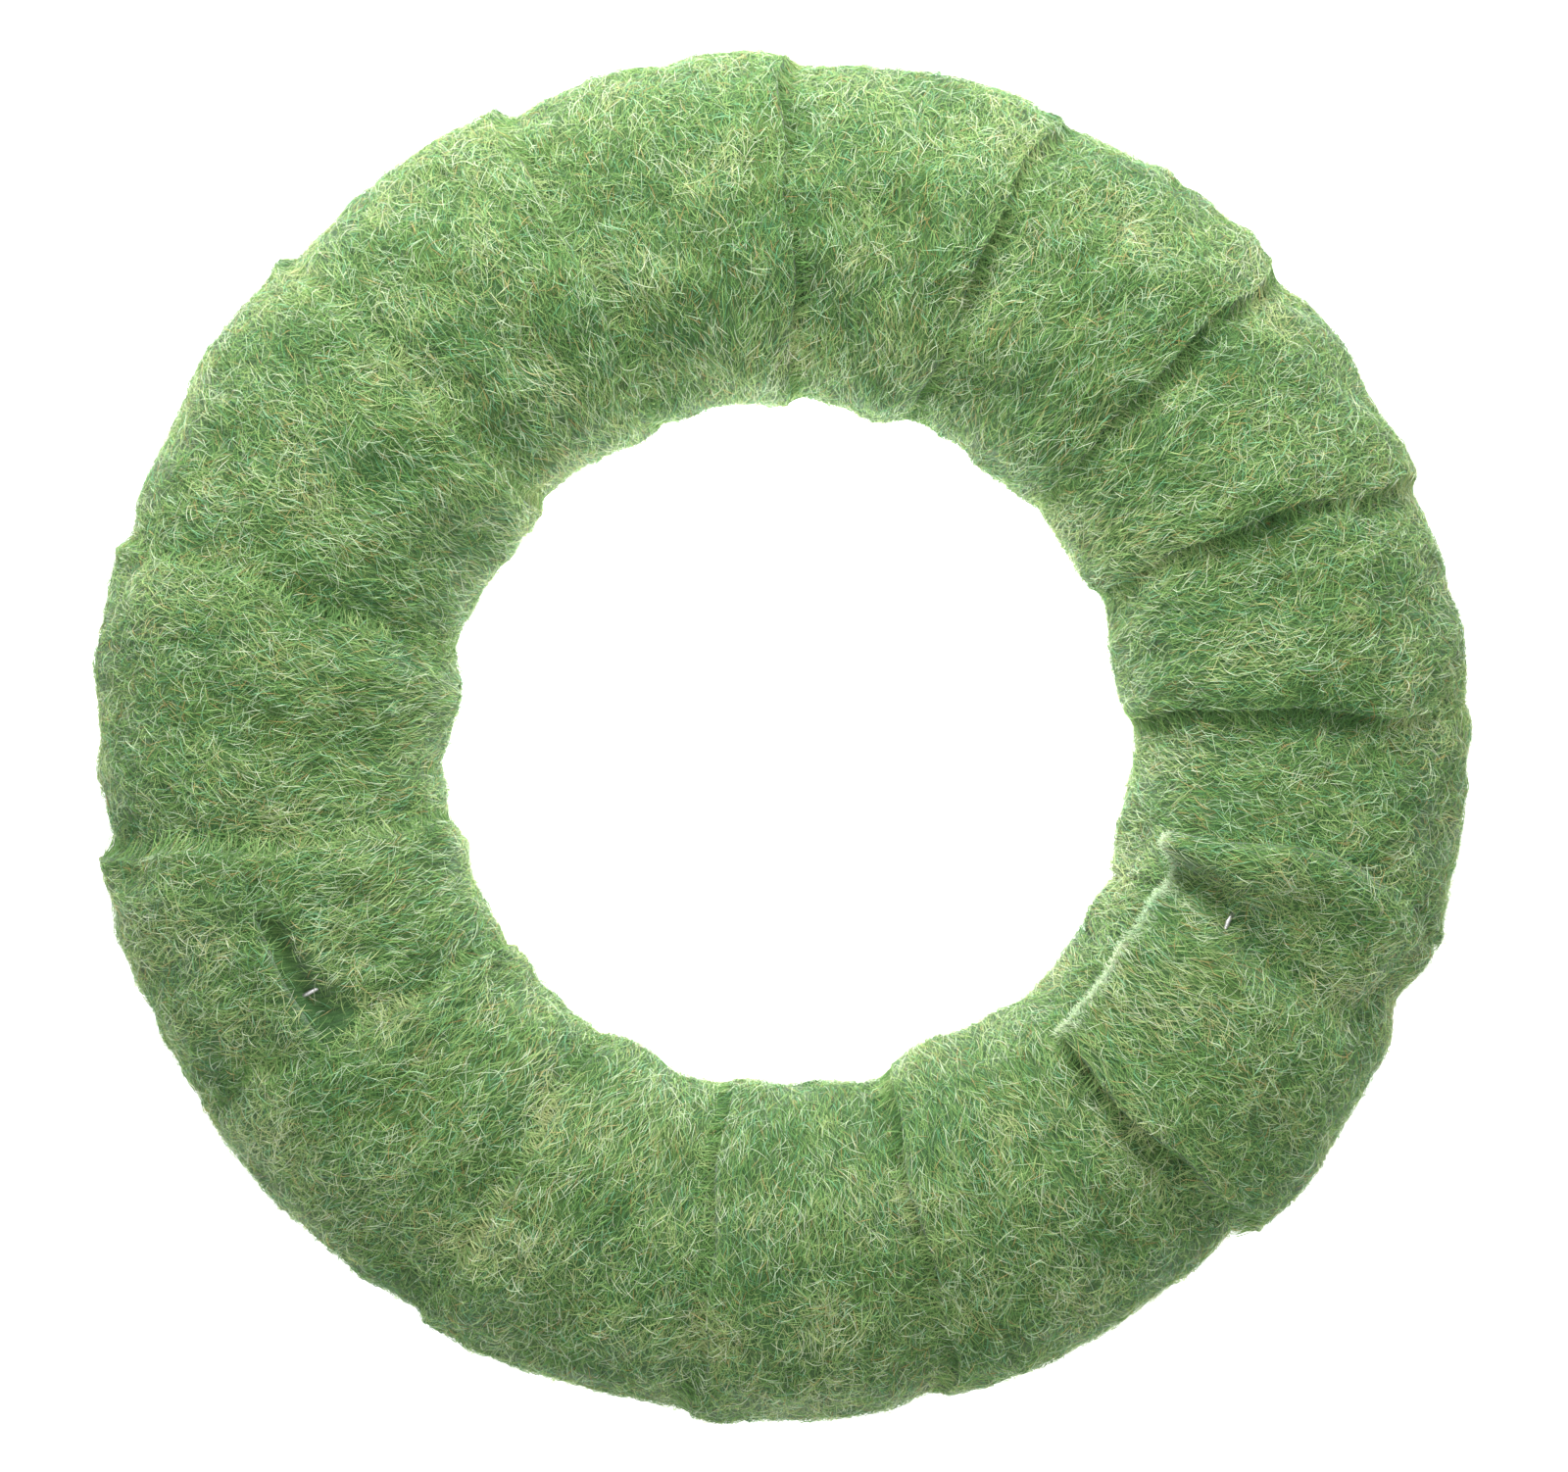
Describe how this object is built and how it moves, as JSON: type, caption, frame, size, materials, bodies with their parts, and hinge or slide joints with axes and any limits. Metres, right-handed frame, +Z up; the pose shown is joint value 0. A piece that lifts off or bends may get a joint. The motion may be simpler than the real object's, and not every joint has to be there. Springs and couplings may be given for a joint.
{
  "type": "wreath frame",
  "caption": "Felt-wrapped straw wreath base: a flat-bottomed ring that pins and wire hold greenery and ornaments to, with an open centre.",
  "frame": {"origin": "centre of the ring, on the plane it rests on", "axes": "+Z up out of the ring's face; +X to the right and +Y to the top as the ring is seen from above, with the last turn of felt at the lower right"},
  "size_m": [0.3014, 0.3005, 0.05],
  "materials": {
    "straw": "dry pressed wheat straw",
    "twine": "twisted jute twine",
    "wool_felt": "hairy moss-green wool felt, mottled",
    "pin_wire": "bright drawn steel wire"
  },
  "bodies": {
    "root": {"straw_bundle_1": "straw", "straw_bundle_2": "straw", "straw_bundle_3": "straw", "straw_bundle_4": "straw", "binding_twine": "twine", "felt_strip_first": "wool_felt", "felt_strip_second": "wool_felt", "start_pin": "pin_wire", "join_pin": "pin_wire", "first_end_pin": "pin_wire", "second_end_pin": "pin_wire"}
  },
  "joints": []
}
